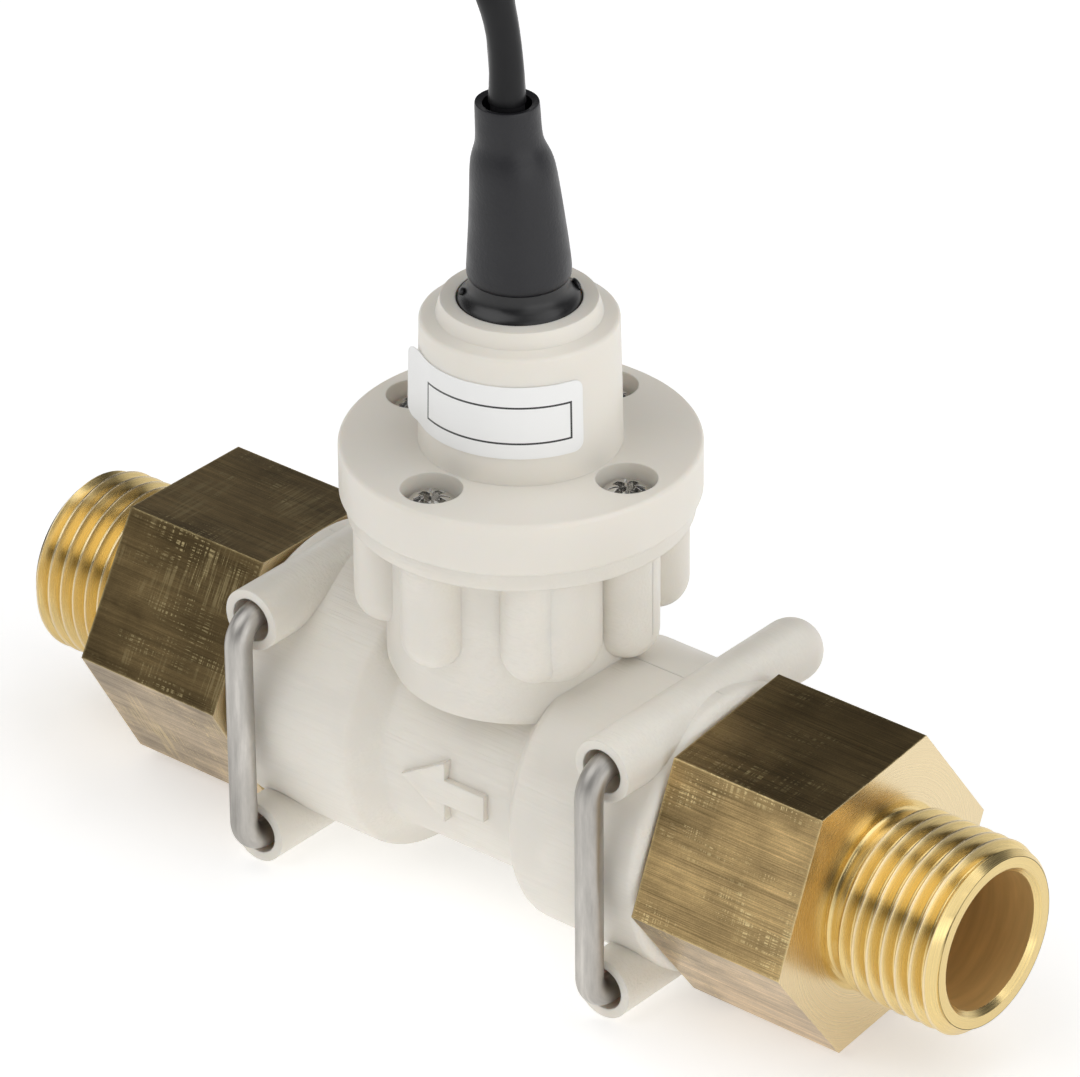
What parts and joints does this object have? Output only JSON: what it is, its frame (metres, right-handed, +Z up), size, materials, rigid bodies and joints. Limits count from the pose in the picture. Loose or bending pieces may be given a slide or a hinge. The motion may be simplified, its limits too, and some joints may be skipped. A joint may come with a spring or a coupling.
{
  "type": "turbine flow meter",
  "caption": "In-line turbine flow meter with swivelling threaded brass fittings held by wire clips, a capped pulse sensor on top and a signal cable.",
  "frame": {"origin": "on the standing surface under the crossing of the pipe axis and the turret axis", "axes": "+X along the pipe to the inlet fitting, +Z up the sensor turret, the clips push in from -Y"},
  "size_m": [0.1244, 0.0592, 0.1238],
  "materials": {
    "moulding": "satin moulded, cream",
    "brass": "tarnished flats, bright turned ends",
    "clip_wire": "dull drawn wire",
    "zinc": "bright plated",
    "seal_rubber": "matt black",
    "sleeve": "satin black",
    "grommet": "gloss black",
    "jacket": "satin black",
    "inner_plastic": "white moulding",
    "bearing_plastic": "dark polymer",
    "shaft_steel": "ground",
    "magnet": "dark ferrite",
    "board": "green laminate",
    "chip": "black package",
    "core": "coloured insulation",
    "tinned": "tinned copper",
    "tie": "black"
  },
  "bodies": {
    "housing": {"flow_body": "moulding", "sensor_cap": "moulding", "cap_screws": "zinc", "cap_o_ring": "seal_rubber", "inlet_straightener": "inner_plastic", "outlet_straightener": "inner_plastic", "inlet_bearing": "bearing_plastic", "outlet_bearing": "bearing_plastic", "sensor_board": "board", "hall_sensor": "chip", "board_parts": "chip", "core_wires": "core", "cable_grommet": "grommet", "cable_sleeve": "sleeve", "cable_entry": "jacket", "cable_retainer": "tie", "cable_run": "jacket", "cable_hank": "jacket", "hank_tie": "tie", "lead_wires": "core", "lead_tips": "tinned"},
    "rotor": {"rotor": "inner_plastic", "rotor_magnets": "magnet", "rotor_shaft": "shaft_steel"},
    "inlet_fitting": {"inlet_fitting": "brass", "inlet_o_ring": "seal_rubber"},
    "outlet_fitting": {"outlet_fitting": "brass", "outlet_o_ring": "seal_rubber"},
    "inlet_clip": {"inlet_clip": "clip_wire"},
    "outlet_clip": {"outlet_clip": "clip_wire"}
  },
  "joints": [
    {"name": "rotor_spin", "type": "hinge", "parent": "housing", "child": "rotor", "pos_m": [0, 0, 0.0167], "axis": [-1, 0, 0], "continuous": true},
    {"name": "inlet_fitting_swivel", "type": "hinge", "parent": "housing", "child": "inlet_fitting", "pos_m": [0.04, 0, 0.0167], "axis": [1, 0, 0], "continuous": true},
    {"name": "outlet_fitting_swivel", "type": "hinge", "parent": "housing", "child": "outlet_fitting", "pos_m": [-0.04, 0, 0.0167], "axis": [1, 0, 0], "continuous": true},
    {"name": "inlet_clip_slide", "type": "slide", "parent": "housing", "child": "inlet_clip", "axis": [0, -1, 0], "range_m": [0, 0.031]},
    {"name": "outlet_clip_slide", "type": "slide", "parent": "housing", "child": "outlet_clip", "axis": [0, -1, 0], "range_m": [0, 0.031]}
  ]
}
